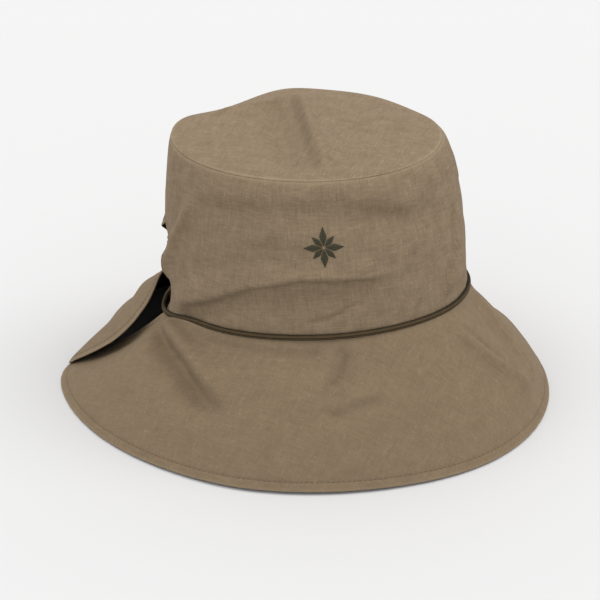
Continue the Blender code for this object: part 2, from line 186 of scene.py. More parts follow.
BRIM_FOLDS = (
    ("ridge", 9.0, -2.6, (222, 0.20), (237, 0.33), (246, 0.42), (255, 0.52)),
    ("tuck", 7.6, -6.0, (212, 0.02), (229, 0.17), (242, 0.26), (251, 0.37), (258, 0.47), (264, 0.58)),
    ("ridge", 3.2, 1.0, (212, 0.01), (223, 0.08), (238, 0.18), (248, 0.29), (255, 0.39), (260, 0.50)),
    ("ridge", 2.8, -2.0, (206, 0.02), (213, 0.10), (221, 0.17), (229, 0.26)),
    ("ridge", 10.9, 1.6, (216, 0.10), (232, 0.60)),
    ("ridge", 7.0, -3.0, (236, 0.09), (285, 0.15)),
    ("ridge", 3.0, -0.8, (210, 0.03), (218, 0.04), (228, 0.05)),
    ("ridge", 8.0, -3.2, (294, 0.16), (290, 0.49)),
    ("tuck", 3.0, -1.2, (296, 0.14), (295, 0.20), (293, 0.31), (290, 0.36)),
    ("tuck", 5.0, -0.9, (287, 0.50), (293, 0.48), (300, 0.44), (307, 0.41)),
    ("ridge", 10.0, 2.6, (341, 0.18), (354, 0.66)),
    ("tuck", 4.4, 2.0, (338, 0.10), (341, 0.19), (345, 0.31), (348, 0.43), (353, 0.57), (358, 0.74)),
    ("tuck", 3.6, 1.7, (370, 0.04), (369, 0.10), (367, 0.29), (365, 0.56), (363, 0.84)),
    ("ridge", 9.0, -2.0, (360, 0.15), (358, 0.50)),
    ("ridge", 18.0, -6.4, (386, 0.06), (387, 0.26)),
    ("ridge", 15.0, -4.4, (402, 0.26), (397, 0.50)),
    ("ridge", 20.0, 2.4, (412, 0.10), (418, 0.80)),
    ("ridge", 4.0, 0.9, (405, 0.10), (409, 0.40), (414, 0.76)),
    ("ridge", 20.0, -2.4, (452, 0.15), (446, 0.75)),
    ("ridge", 4.0, 0.8, (468, 0.08), (466, 0.36), (470, 0.70)),
    ("ridge", 18.0, 2.4, (496, 0.10), (500, 0.80)),
    ("ridge", 13.0, 3.4, (537, 0.27), (529, 0.46)),
)

# The tip panel's lines are pairs of shares of its half length and half width.
TIP_FOLDS = (
    ("tuck", 12.0, 4.4, (-0.38, 0.72), (-0.33, 0.61), (-0.19, 0.26), (0.01, -0.25), (0.18, -0.66),
     (0.29, -0.90)),
    ("tuck", 4.4, 2.5, (-0.30, 0.72), (-0.25, 0.61), (-0.11, 0.26), (0.09, -0.25), (0.26, -0.66),
     (0.37, -0.90)),
    ("ridge", 9.0, 3.2, (-0.80, 0.10), (-0.61, 0.33), (-0.48, 0.48), (-0.23, 0.62)),
    ("ridge", 11.0, 2.0, (-0.28, 0.63), (-0.06, 0.70)),
    ("ridge", 2.6, 0.8, (-0.84, 0.06), (-0.76, 0.16), (-0.61, 0.33), (-0.48, 0.48), (-0.23, 0.61)),
    ("ridge", 2.4, 0.6, (-0.46, 0.85), (-0.39, 0.79), (-0.31, 0.71), (-0.20, 0.58)),
    ("ridge", 16.0, -1.6, (-0.52, -0.35), (-0.14, -0.30)),
    ("ridge", 5.0, 1.2, (0.24, 0.24), (0.42, 0.38), (0.65, 0.48)),
    ("ridge", 6.0, -1.0, (0.31, 0.10), (0.65, -0.03), (0.92, -0.13)),
    ("ridge", 4.0, 0.5, (-0.60, -0.66), (-0.34, -0.56), (-0.05, -0.64)),
    ("ridge", 8.0, -0.8, (0.45, -0.55), (0.70, -0.30)),
)
print("folds:", len(SIDE_FOLDS), len(BRIM_FOLDS), len(TIP_FOLDS))

# %% [markdown]
# Every surface here is a function of two arrays, so the same call gives one point or a whole
# panel. The helpers below do the repeated work: angles, a soft bump, and the height of a fold at
# any place on a flat panel.

# %% Helpers for shapes
TINY = 1e-15  # keeps a division by a length safe
TUCK_SCALE = 2.33  # 1 over the highest value of x times a hump of x
THIN_FOLD = 0.005
CRUMPLE_CELLS, CRUMPLE_SHIFT = 96, 40


def along(turns):
    """Cosine and sine of angles in degrees."""
    return np.cos(np.radians(turns)), np.sin(np.radians(turns))


def hump(distance, spread):
    """A smooth bump: 1 at distance 0, about a third one spread away."""
    return np.exp(-((distance / spread) ** 2))


def smooth(share):
    """An easy ramp from 0 to 1: 3 share squared less 2 share cubed."""
    share = np.clip(share, 0, 1)
    return share * share * (3 - 2 * share)


def unit(vectors):
    """Vectors of length 1 that point the same way; one without a length stays as it is."""
    return vectors / np.maximum(np.linalg.norm(vectors, axis=-1, keepdims=True), TINY)


def measured(path):
    """How far along a path each of its points lies, in metres."""
    return np.concatenate([[0], np.cumsum(np.linalg.norm(np.diff(path, axis=0), axis=1))])


def from_line(u, v, line):
    """Signed distance of places (u, v) from a line of points, and how far along it they lie.

    Each leg's nearest point comes from a projection held between its ends, and the nearest leg
    counts. The sign is plus on the left of the line.
    """
    line = np.asarray(line, float)
    legs = np.diff(line, axis=0)
    lengths = np.hypot(*legs.T)
    nearest = np.full(np.shape(u), np.inf)
    signed, share, done = np.zeros(np.shape(u)), np.zeros(np.shape(u)), 0.0
    for (u0, v0), (du, dv), length in zip(line, legs, lengths):
        part = np.clip(((u - u0) * du + (v - v0) * dv) / length**2, 0, 1)
        eu, ev = u - u0 - part * du, v - v0 - part * dv
        away = np.hypot(eu, ev)
        closer = away < nearest
        nearest = np.where(closer, away, nearest)
        signed = np.where(closer, np.where(du * ev - dv * eu < 0, -away, away), signed)
        share = np.where(closer, (done + part * length) / lengths.sum(), share)
        done += length
    return signed, share


def folded(u, v, table, scale_u, scale_v):
    """Height of all folds of a table at places (u, v), in metres.

    A ridge is a hump across its line. A tuck is x times a hump of x, scaled to reach 1, where x
    is the distance in widths. Tucks fade in and out over the ends of their lines, and so do
    ridges that are thin or have four points or more.
    """
    height = np.zeros(np.shape(u))
    for shape, width, depth, *line in table:
        width, depth = width / 1000, depth / 1000
        away, share = from_line(u, v, [(a * scale_u, b * scale_v) for a, b in line])
        if shape == "tuck":
            fade = smooth(5 * share) * smooth(5 - 5 * share)
            height += depth * TUCK_SCALE * (away / width) * hump(away, width) * fade
        elif len(line) > 3 or width < THIN_FOLD:
            height += depth * hump(away, width) * smooth(4 * share) * smooth(4 - 4 * share)
        else:
            height += depth * hump(away, width)
    return height


def crumple(u, v, size, seed):
    """Soft chance swells from -1 to 1: seeded numbers on a square mesh, joined by smooth ramps."""
    table = np.random.default_rng(seed).uniform(-1, 1, (CRUMPLE_CELLS, CRUMPLE_CELLS))
    i, j = u / size + CRUMPLE_SHIFT, v / size + CRUMPLE_SHIFT
    i0, j0 = np.floor(i).astype(int), np.floor(j).astype(int)
    fi, fj = smooth(i - i0), smooth(j - j0)
    i0, j0 = i0 % CRUMPLE_CELLS, j0 % CRUMPLE_CELLS
    i1, j1 = (i0 + 1) % CRUMPLE_CELLS, (j0 + 1) % CRUMPLE_CELLS
    near = table[i0, j0] * (1 - fi) + table[i1, j0] * fi
    far = table[i0, j1] * (1 - fi) + table[i1, j1] * fi
    return near * (1 - fj) + far * fj


def crumpled(u, v, rows):
    """Crumples laid over each other: every row gives a height, a size and a seed."""
    return sum(height * crumple(u, v, size, seed) for height, size, seed in rows)


print("a hump one spread away:", round(float(hump(1.0, 1.0)), 2))


# %% [markdown]
# ## The rings
#
# Three rings carry the hat, as three hoops would: the ring sewn to the head size, the smaller
# ring round the tip panel and the rim on the table. At the back the sewn ring parts: its near
# corner hangs down and its far corner stands up.

# %% The keyhole and the rings


def keyhole(rise):
    """The keyhole's near and far edge as angles: an arch whose middle leans towards its top."""
    share = np.clip(np.asarray(rise) * CROWN_HEIGHT / KEYHOLE_HEIGHT, 0, 1)
    half = np.degrees(KEYHOLE_WIDTH / HEAD_LENGTH) * (1 - KEYHOLE_TAPER * share)
    half = half * np.sqrt(1 - share**ARCH_POWER)
    middle = KEYHOLE_ANGLE + (KEYHOLE_TOP_ANGLE - KEYHOLE_ANGLE) * share
    return middle + half, 360 + middle - half


def joined(rise):
    """How far the keyhole's two edges have come together: 0 low down, 1 from its top on."""
    share = np.asarray(rise) * CROWN_HEIGHT / KEYHOLE_HEIGHT
    return smooth((share - JOIN_START) / (1 - JOIN_START))


def outwards(turns, length, width):
    """Unit vectors straight out of an oval, level with the table."""
    c, s = along(turns)
    return unit(np.stack([c * width, s * length, 0 * c], -1))


def base_ring(turns, parted=1.0):
    """The sewn ring: an oval, lower at the back, whose corners part at the split."""
    c, s = along(turns)
    x = HEAD_FORWARD + HEAD_LENGTH / 2 * c
    y = HEAD_ASIDE + HEAD_WIDTH / 2 * s
    z = BASE_HEIGHT + BASE_BACK_DROP * c - BASE_FAR_DROP * s - BASE_SIDE_RISE * (2 * c**2 - 1)
    near_corner, far_corner = keyhole(0.0)
    near = parted * hump(turns - near_corner, CORNER_SPREAD)
    far = parted * hump(turns - far_corner, CORNER_SPREAD)
    ring = np.stack([x, y, z - CORNER_DROP * near + CORNER_LIFT * far], -1)
    return ring + (CORNER_LIFT / 2 * far)[..., None] * outwards(turns, HEAD_LENGTH, HEAD_WIDTH)


def tip_dent(turns):
    """How far the crown's upper edge has sunk at an angle."""
    away = [((turns - angle + 180) % 360 - 180, spread, share) for angle, spread, share in TIP_DENTS]
    return sum(TIP_DENT * share * hump(distance, spread) for distance, spread, share in away)


def tip_ring(turns):
    """The upper edge of the side band: a smaller oval, tilted a little, with its dents."""
    c, s = along(turns)
    z = BASE_HEIGHT + CROWN_HEIGHT + TIP_FRONT_RISE * c - tip_dent(turns)
    return np.stack([TIP_FORWARD + TIP_LENGTH / 2 * c, TIP_ASIDE + TIP_WIDTH / 2 * s, z], -1)


def rim_ring(turns):
    """The brim's outer edge: the widest oval, on the table, with its bulges."""
    c, s = along(turns)
    ring = np.stack([RIM_FORWARD + RIM_LENGTH / 2 * c, RIM_ASIDE + RIM_WIDTH / 2 * s, 0 * c], -1)
    wider = sum(RIM_BULGE * share * hump(turns - angle, spread) for angle, spread, share in RIM_BULGES)
    return ring + wider[..., None] * outwards(turns, RIM_LENGTH, RIM_WIDTH)


head_ring = measured(base_ring(np.arange(0.0, 361.0), parted=0.0))
print("head ring", round(1000 * head_ring[-1]), "mm round")

# %% [markdown]
# ## The three panels
#
# The side band goes straight from ring to ring and then swells, most near the top, so that it
# turns over into the tip panel as a soft shoulder. The brim goes from the sewn ring to the rim and
# bows upwards a little, and its far end is pulled in and lies over its near end. The tip panel is
# a square grid drawn into an oval, which leaves no pinched point in the middle.

# %% The panels as functions


def side_panel(turns, rise):
    """The side band: from base ring to tip ring, swollen, with its folds and a light crumple."""
    turns, rise = np.broadcast_arrays(turns, rise)
    u, v = HEAD_LENGTH / 2 * np.radians(turns), rise * CROWN_HEIGHT
    base, tip = base_ring(turns, 1 - joined(rise)), tip_ring(turns)
    swell = (SIDE_BELLY + FRONT_BELLY * along(turns)[0]) * 2 * rise
    swell = swell * np.sqrt(np.clip(1 - rise**2, 0, 1))
    folds = folded(u, v, SIDE_FOLDS, HEAD_LENGTH / 2 * np.pi / 180, CROWN_HEIGHT)
    near, far = keyhole(rise)
    at_seam = np.clip(hump(turns - near, SEAM_SPREAD) + hump(turns - far, SEAM_SPREAD), 0, 1)
    keep = np.clip(BAND_FADE * (1 - rise), 0, 1) * (1 - joined(rise) * at_seam)
    soft = crumpled(u, v, SIDE_CRUMPLES)
    seams = hump(1 - rise, TOP_GATHER_SPREAD) + 0.7 * hump(rise, LOW_GATHER_SPREAD)
    gathers = GATHER * crumple(u, 0.2 * v, GATHER_SIZE, GATHER_SEED) * seams
    depth = swell + (folds + soft + gathers) * keep
    out = outwards(turns, HEAD_LENGTH, HEAD_WIDTH)
    return base + rise[..., None] * (tip - base) + depth[..., None] * out


def brim_ends(reach):
    """Angles of the brim's near end, which runs back under the flap, and of the flap's edge."""
    near, far = keyhole(0.0)
    reach = np.asarray(reach)
    lap = FAR_LAP_ANGLE * (1 - np.exp(-reach / FAR_LAP_START))
    return near - NEAR_TUCK_ANGLE * reach, far + lap + FAR_LAP_BULGE * np.sin(np.pi * reach**0.75)


BRIM_SLANT = float(np.hypot((RIM_WIDTH - HEAD_WIDTH) / 2, BASE_HEIGHT))
BRIM_RADIUS = (HEAD_LENGTH + RIM_LENGTH) / 4


def brim_panel(turns, reach):
    """The brim: from base ring to rim, bowed up, with its folds and the groove of its hem stitches.

    The far end is drawn in as a flap, and the near end is tucked in and sags under it.
    """
    turns, reach = np.broadcast_arrays(turns, reach)
    u, v = BRIM_RADIUS * np.radians(turns), reach * BRIM_SLANT
    base, rim = base_ring(turns), rim_ring(turns)
    base[..., 2] += BRIM_OVER_BAND
    rim[..., 2] += CLOTH * (RIM_LIFT + NEAR_RIM_LIFT * hump(turns - NEAR_RIM_ANGLE, NEAR_RIM_SPREAD))
    line = rim - base
    flat = outwards(turns, RIM_LENGTH, RIM_WIDTH)
    run = np.sum(line * flat, -1)
    up = -line[..., 2:] * flat
    up[..., 2] += run
    folds = folded(u, v, BRIM_FOLDS, BRIM_RADIUS * np.pi / 180, BRIM_SLANT)
    soft = crumpled(u, v, BRIM_CRUMPLES)
    keep = np.clip(RIM_FADE * (1 - reach), 0, 1) * np.clip(SEAM_FADE * reach, 0, 1)
    to_rim = BRIM_SLANT * (1 - reach)
    puckers = HEM_PUCKER * crumple(u, 0 * v, HEM_PUCKER_SIZE, HEM_PUCKER_SEED)
    hem = -HEM_GROOVE * hump(to_rim - STITCH_INSET, HEM_GROOVE_SPREAD)
    hem = hem + puckers * hump(to_rim - STITCH_INSET / 2, HEM_PUCKER_SPREAD)
    depth = BRIM_BELLY * 4 * reach * (1 - reach) + (folds + soft) * keep + hem
    panel = base + reach[..., None] * line + depth[..., None] * unit(up)
    panel[..., 2] += FLAP_RIM_LIFT * reach * hump(turns - brim_ends(1.0)[1], FLAP_SPREAD)
    pull = hump(turns - FLAP_PULL_ANGLE, FLAP_PULL_SPREAD)
    panel -= (FLAP_PULL * pull * reach)[..., None] * flat
    panel[..., 2] -= FLAP_SAG * pull * np.sin(np.pi * reach)
    sag = NEAR_SAG * hump(turns - brim_ends(reach)[0], NEAR_SAG_SPREAD)
    panel[..., 2] -= sag * np.sin(np.pi * reach)
    tuck = hump(turns - brim_ends(1.0)[0], NEAR_PULL_SPREAD)
    return panel - (NEAR_PULL * tuck * reach)[..., None] * flat


def tip_panel(u, v):
    """The tip panel: u and v from -1 to 1, drawn into an oval, domed, with its folds."""
    u, v = np.broadcast_arrays(u, v)
    x, y = u * np.sqrt(1 - v**2 / 2), v * np.sqrt(1 - u**2 / 2)
    middle = np.clip(1 - x**2 - y**2, 0, 1)
    z = BASE_HEIGHT + CROWN_HEIGHT + TIP_FRONT_RISE * x + TIP_OVER_BAND
    z = z - tip_dent(np.degrees(np.arctan2(y, x))) * (x**2 + y**2) ** 2
    flat_x, flat_y = TIP_LENGTH / 2 * x, TIP_WIDTH / 2 * y
    folds = folded(flat_x, flat_y, TIP_FOLDS, TIP_LENGTH / 2, TIP_WIDTH / 2)
    soft = crumpled(flat_x, flat_y, TIP_CRUMPLES)
    z = z + TIP_DOME * middle**0.7 + (folds + soft) * np.clip(TIP_FADE * middle, 0, 1)
    half_length, half_width = (TIP_LENGTH + CLOTH) / 2, (TIP_WIDTH + CLOTH) / 2
    return np.stack([TIP_FORWARD + half_length * x, TIP_ASIDE + half_width * y, z], -1)


print("brim", round(1000 * BRIM_SLANT), "mm from seam to rim")

# %% [markdown]
# ## From a function to a mesh
#
# A panel becomes cloth when it has two skins that meet in a rounded hem. Solidify would give it
# square edges, so the skins are worked out here: each point moves half a thickness to either
# side, and that half falls to nothing at the edge along a quarter circle. The two skins share the
# points of the edge, so the piece is closed. Extra grid lines near the edges let the hem turn.

# %% Meshes, skins and hems
# How far in from an edge the cloth turns paler: partly edge wear, partly a painted highlight on the
# rounded hem.
EDGE_WEAR_AND_HIGHLIGHT_SPREAD = 0.0016
HEM_LINES = CLOTH * np.array([0.06, 0.22, 0.5, 0.9])  # distances from an edge that turns
GROOVE_LINES = 0.0011 * np.linspace(-1, 1, 5)  # distances from a line of stitches


def mesh_piece(name, points, faces, finishes, weave, finish_of=None, edge_wear_and_highlight=None):
    """A mesh object from arrays: points, faces of four, the place of each point on the cloth as a
    UV map, which finish each face has and, as an attribute, how pale each point is near an edge:
    partly edge wear, partly a painted highlight where the rounded hem catches light."""
    mesh = bpy.data.meshes.new(name)
    mesh.vertices.add(len(points))
    mesh.vertices.foreach_set("co", np.asarray(points, np.float32).ravel())
    mesh.loops.add(faces.size)
    mesh.loops.foreach_set("vertex_index", faces.ravel().astype(np.int32))
    mesh.polygons.add(len(faces))
    mesh.polygons.foreach_set("loop_start", np.arange(0, faces.size, 4, dtype=np.int32))
    if finish_of is not None:
        mesh.polygons.foreach_set("material_index", finish_of.astype(np.int32))
    mesh.update(calc_edges=True)
    mesh.shade_smooth()
    layer = mesh.uv_layers.new(name="weave")
    layer.uv.foreach_set("vector", np.asarray(weave, np.float32)[faces.ravel()].ravel())
    if edge_wear_and_highlight is not None:
        held = mesh.attributes.new("edge_wear_and_highlight", "FLOAT", "POINT")
        held.data.foreach_set("value", np.asarray(edge_wear_and_highlight, np.float32))
    for finish in finishes:
        mesh.materials.append(finish)
    piece = bpy.data.objects.new(name, mesh)
    bpy.context.scene.collection.objects.link(piece)
    return piece


def grid_faces(index, turned=False):
    """Faces of four between neighbours of a grid of point numbers."""
    corners = [index[:-1, :-1], index[1:, :-1], index[1:, 1:], index[:-1, 1:]]
    return np.stack(corners[::-1] if turned else corners, -1).reshape(-1, 4)


def tube_faces(index, turned=False):
    """Faces of a closed tube from its rings of point numbers: sides, and strips across both ends."""
    sides = grid_faces(np.concatenate([index, index[:, :1]], 1), turned)
    around = index.shape[1]
    k = np.arange(around // 2 - 1)
    strips = np.stack([k, k + 1, around - 2 - k, around - 1 - k], -1)
    caps = np.concatenate([index[0][strips], index[-1][strips[:, ::-1]]])
    return np.concatenate([sides, caps[:, ::-1] if turned else caps])


def two_skins(outer, inner):
    """Points and faces of an outer and an inner grid that share their edge, and which are inner."""
    n, m = outer.shape[:2]
    front = np.arange(n * m).reshape(n, m)
    back = front.copy()
    back[1:-1, 1:-1] = n * m + np.arange((n - 2) * (m - 2)).reshape(n - 2, m - 2)
    values = outer.shape[-1]
    points = np.concatenate([outer.reshape(-1, values), inner[1:-1, 1:-1].reshape(-1, values)])
    faces = np.concatenate([grid_faces(front), grid_faces(back, turned=True)])
    return points, faces, np.repeat([0, 1], len(faces) // 2)


def face_on(grid):
    """Unit normals of a grid of points, out of its front; none where its lines run together."""
    return unit(np.cross(np.gradient(grid, axis=0), np.gradient(grid, axis=1)))


def from_edges(grid):
    """Each point's distance from the nearest edge of its grid, measured along the cloth."""
    nearest = np.full(grid.shape[:2], np.inf)
    for axis in (0, 1):
        steps = np.linalg.norm(np.diff(grid, axis=axis), axis=-1)
        start = np.cumsum(np.insert(steps, 0, 0, axis=axis), axis=axis)
        end = start.take([-1], axis=axis) - start
        nearest = np.minimum(nearest, np.minimum(start, end))
    return nearest


def hem_steps(count, length, insets=()):
    """Shares from 0 to 1: even steps, closer where a hem turns and on both sides of a stitch line."""
    near = np.concatenate([HEM_LINES, *[inset + GROOVE_LINES for inset in insets]])
    close = np.concatenate([[0], near / length, 1 - near / length, [1]])
    even, too_close = np.linspace(0, 1, count), 0.35 / count
    clear = np.abs(even[:, None] - close).min(1) > too_close
    return np.sort(np.concatenate([even[clear], close]))


def cloth_piece(name, grid, weave, finishes, node):
    """A panel of cloth with two skins and round hems, in the place of a solid."""
    edge = from_edges(grid)
    half = CLOTH / 2 * np.sqrt(1 - np.clip(1 - edge / (CLOTH / 2), 0, 1) ** 2)
    thick = half[..., None] * face_on(grid)
    # Paler towards every edge: partly edge wear, partly a painted highlight where the hem turns.
    edge_wear_and_highlight = hump(edge, EDGE_WEAR_AND_HIGHLIGHT_SPREAD)[..., None]
    outer = np.concatenate([grid + thick, weave, edge_wear_and_highlight], -1)
    inner = np.concatenate([grid - thick, weave, edge_wear_and_highlight], -1)
    points, faces, is_inner = two_skins(outer, inner)
    piece = mesh_piece(name, points[:, :3], faces, finishes, points[:, 3:5], is_inner, points[:, 5])
    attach(piece, "root")
    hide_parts(node)
    print(f"{name}: {2 * len(faces)} triangles")


print("a hem turns over", len(HEM_LINES), "grid lines")

# %% [markdown]
# ## Writing shader maths as formulas
#
# A weave is a formula of the place on the cloth. Shader nodes can hold a formula, but a long one
# is hard to read as nodes, so a small class wraps a node's output and adds the Math node when it
# meets a sign such as plus or times. Every other node comes from one method.

# %% A class for shader formulas


class Value:
    """A number that varies over a surface. Plain Python signs add the Math nodes."""

    def __init__(self, finish, socket):
        self.finish, self.socket = finish, socket

    def maths(self, operation, *inputs):
        return self.finish.node("ShaderNodeMath", {"operation": operation}, dict(enumerate(inputs)))

    def __add__(self, other):
        return self.maths("ADD", self, other)

    def __sub__(self, other):
        return self.maths("SUBTRACT", self, other)

    def __rsub__(self, other):
        return self.maths("SUBTRACT", other, self)

    def __mul__(self, other):
        return self.maths("MULTIPLY", self, other)

    def __truediv__(self, other):
        return self.maths("DIVIDE", self, other)

    def __rtruediv__(self, other):
        return self.maths("DIVIDE", other, self)

    __radd__, __rmul__ = __add__, __mul__

    def sine(self):
        return self.maths("SINE", self)

    def within(self, low, high):
        """0 below low, 1 above high and an even ramp between."""
        return self.finish.node(
            "ShaderNodeMapRange", {"clamp": True}, {"Value": self, "From Min": low, "From Max": high}
        )


class Finish:
    """A material with its Principled shader, and the means to add nodes to it."""

    def __init__(self, name, **settings):
        self.material = bpy.data.materials.new(name)
        self.material.use_nodes = True
        self.tree = self.material.node_tree
        self.shader = self.tree.nodes["Principled BSDF"]
        for socket, value in settings.items():
            self.shader.inputs[socket.replace("_", " ")].default_value = value

    def node(self, kind, settings, inputs, output=0):
        """Any node: its settings first, then the values or links of its sockets."""
        node = self.tree.nodes.new(kind)
        for key, value in settings.items():
            setattr(node, key, value)
        for key, value in inputs.items():
            if isinstance(value, Value):
                self.tree.links.new(value.socket, node.inputs[key])
            else:
                node.inputs[key].default_value = value
        return Value(self, node.outputs[output])

    def place(self):
        """The place on the flat cloth, in metres, as two values."""
        uv = self.node("ShaderNodeUVMap", {"uv_map": "weave"}, {})
        return [self.node("ShaderNodeSeparateXYZ", {}, {0: uv}, k) for k in (0, 1)]

    def noise(self, x, y, z, detail=2.0):
        """Smooth chance from 0 to 1 at a place in units of its grain; each z is another pattern."""
        at = self.node("ShaderNodeCombineXYZ", {}, {0: x, 1: y, 2: z})
        return self.node("ShaderNodeTexNoise", {}, {"Vector": at, "Scale": 1.0, "Detail": detail})

    def mix(self, share, first, second):
        """From the first colour to the second."""
        inputs = {0: share, 6: first, 7: second}
        return self.node("ShaderNodeMix", {"data_type": "RGBA"}, inputs, 2)

    def attribute(self, name):
        return self.node("ShaderNodeAttribute", {"attribute_name": name}, {}, 2)

    def feed(self, **inputs):
        for socket, value in inputs.items():
            self.tree.links.new(value.socket, self.shader.inputs[socket.replace("_", " ")])

    def bump(self, height, distance):
        """Small relief: height from 0 to 1, over a distance in metres."""
        normal = self.node("ShaderNodeBump", {}, {"Strength": 1.0, "Distance": distance, "Height": height})
        self.feed(Normal=normal)


print("signs that add Math nodes: + - * /")

# %% [markdown]
# ## The khaki linen
#
# Linen yarns are uneven: here and there a yarn swells into a slub for a centimetre or two. From a
# step away the weave itself is too fine to see, and what shows is the slubs, short pale and dark
# streaks that run along the two directions of the weave. So the finish adds up long thin noise
# along each direction for the yarns, wider bars and clouds of shade, and a fine grain. The yarn
# noise cut high gives the slubs, and round noise cut high their knots. A fine over-and-under
# pattern only shows close up, in the relief.

# %% Finish: cloth
WEAVE = 0.0011  # metres from one thread over to the next
SLUB_CUT, KNOT_CUT = (0.66, 0.78), (0.66, 0.80)
BAR_WIDTH, BAR_LENGTH = 0.0022, 0.014
CLOUD, GRAIN, KNOT = 0.009, 0.0008, 0.0011


def colour(red, green, blue):
    """A screen colour, 0 to 255, as the light values that a shader takes."""
    screen = np.array([red, green, blue]) / 255
    light = np.where(screen <= 0.04045, screen / 12.92, ((screen + 0.055) / 1.055) ** 2.4)
    return (*light, 1.0)


def woven(name, deep, main, pale, yarn, slub_length, contrast, relief):
    """Plain-weave cloth with slubs: yarn is the width that a yarn's shade varies over."""
    finish = Finish(name, Specular_IOR_Level=0.15)
    u, v = finish.place()
    warp = finish.noise(u / yarn, v / slub_length, 1.7)
    weft = finish.noise(u / slub_length, v / yarn, 5.3)
    warp_bars = finish.noise(u / BAR_WIDTH, v / BAR_LENGTH, 7.7, 1.0)
    weft_bars = finish.noise(u / BAR_LENGTH, v / BAR_WIDTH, 8.8, 1.0)
    cloud = finish.noise(u / CLOUD, v / CLOUD, 9.1, 3.0)
    grain = finish.noise(u / GRAIN, v / GRAIN, 3.9, 1.0)
    tone = (warp - 0.5) * 0.6 + (weft - 0.5) * 0.6 + (warp_bars + weft_bars - 1.0) * 0.30
    tone = tone + (cloud - 0.5) * 0.45 + (grain - 0.5) * 0.7
    knots = finish.noise(u / KNOT, v / KNOT, 12.4, 1.0).within(*KNOT_CUT)
    slubs = warp.within(*SLUB_CUT) + weft.within(*SLUB_CUT) + knots
    # Painted highlight, with some edge wear: the cloth turns paler towards every edge, as the rounded hem
    # does where it catches light.
    edge_wear_and_highlight = finish.attribute("edge_wear_and_highlight")
    shade = finish.mix((tone * contrast + 0.5).within(0.0, 1.0), deep, main)
    shade = finish.mix((slubs * 0.22 + edge_wear_and_highlight * 0.30).within(0.0, 1.0), shade, pale)
    over = (u * (2 * np.pi / WEAVE)).sine() * (v * (2 * np.pi / WEAVE)).sine()
    height = over * 0.18 + slubs * 0.35 + tone * 0.5 + 0.5
    finish.feed(Base_Color=shade, Roughness=0.92 - slubs * 0.06)
    finish.bump(height, relief)
    return finish.material


khaki_tones = colour(104, 89, 71), colour(136, 119, 97), colour(164, 147, 121)
# The brim is the same linen as the crown, but its tones are set a little darker: painted shade for the
# brim's lower brightness.
shaded_brim_tones = colour(103, 88, 69), colour(131, 114, 92), colour(160, 143, 119)
# The reverse is a dark olive cloth, the same as the cord's, but its tones are set darker still, to the
# near black it shows inside the hat: partly its own colour, partly painted shade.
dark_and_shaded_tones = colour(24, 21, 12), colour(38, 33, 20), colour(54, 48, 33)
khaki = woven("khaki_crown", *khaki_tones, 0.0010, 0.0065, 1.1, 0.00022)
khaki_bias = woven("khaki_brim", *shaded_brim_tones, 0.0009, 0.0050, 0.8, 0.00022)
reverse = woven("dark_reverse", *dark_and_shaded_tones, 0.0010, 0.0065, 0.8, 0.00015)
print("finishes:", khaki.name, khaki_bias.name, reverse.name)

# %% [markdown]
# ## The crown's side band
#
# The band is one strip with the keyhole cut into its lower back edge. Its grid runs from the
# keyhole's near edge once round to the far edge, and above the keyhole both ends meet in the back
# seam. Rows are closer together up to the keyhole's top, where its edge turns over.

# %% Piece: side band
SIDE_RUN, BRIM_RUN = 0.50, 0.78  # about how far side band and brim run round the hat


def side_rows(share):
    """Rises of the rows: sine steps up to the keyhole's top, then even steps to the tip ring."""
    top = KEYHOLE_HEIGHT / CROWN_HEIGHT
    beside_hole = top * np.sin(np.clip(share, 0, 0.5) * np.pi)
    return np.where(share < 0.5, beside_hole, top + (1 - top) * (2 * share - 1))


def panel_grid(panel, ends, turn_shares, rows):
    """Points of a panel between its two ends, with the angle and row of each."""
    row = np.broadcast_to(rows, (len(turn_shares), len(rows)))
    start, end = ends(row)
    turns = start + turn_shares[:, None] * (end - start)
    return panel(turns, row), turns, row


side_grid, turns, rise = panel_grid(
    side_panel, keyhole, hem_steps(470, SIDE_RUN), side_rows(hem_steps(80, CROWN_HEIGHT))
)
side_weave = np.stack([HEAD_LENGTH / 2 * np.radians(turns), rise * CROWN_HEIGHT], -1)
cloth_piece("crown_side_cloth", side_grid, side_weave, (khaki, reverse), "crown_side")

# %% [markdown]
# ## The tip panel
#
# The oval on top is cut flat, with its own straight weave, and sewn to the band's upper edge.

# %% Piece: tip panel
squares = 2 * hem_steps(178, TIP_LENGTH) - 1
tip_grid = tip_panel(squares[:, None], squares[None, :])
cloth_piece("crown_tip_cloth", tip_grid, tip_grid[..., :2], (khaki, reverse), "crown_tip")

# %% [markdown]
# ## The brim
#
# A brim is cut from flat cloth as part of a ring, as a lampshade is, so its weave runs straight
# over the flat piece and not round the hat. The UV map is that flat piece: the radius on the cone
# that it unrolls to, and an angle that is smaller than the one round the hat.

# %% Piece: brim
brim_shares = hem_steps(500, BRIM_RUN, [STITCH_INSET])
brim_rows = hem_steps(68, BRIM_SLANT, [STITCH_INSET])
brim_grid, turns, reach = panel_grid(brim_panel, brim_ends, brim_shares, brim_rows)
cone = ((RIM_LENGTH + RIM_WIDTH) - (HEAD_LENGTH + HEAD_WIDTH)) / 4 / BRIM_SLANT
radius = (HEAD_LENGTH + HEAD_WIDTH) / 4 / cone + reach * BRIM_SLANT
c, s = along(turns * cone)
brim_weave = np.stack([radius * s, radius * c], -1)
cloth_piece(
    "brim_cloth", brim_grid[::-1], brim_weave[::-1], (khaki_bias, reverse), "brim"
)

# %% [markdown]
# ## The cord
#
# A narrow tube of dark cloth, rolled and stitched down its middle, lies round the crown just
# above the seam, and at the back both of its ends turn up and go into the opening. It is a
# profile carried along a path: at each point of the path the profile lies in the plane of two
# arrows, one out of the crown's wall and one up along it. It is held all the way, so it is a
# piece of trim and no free cord.

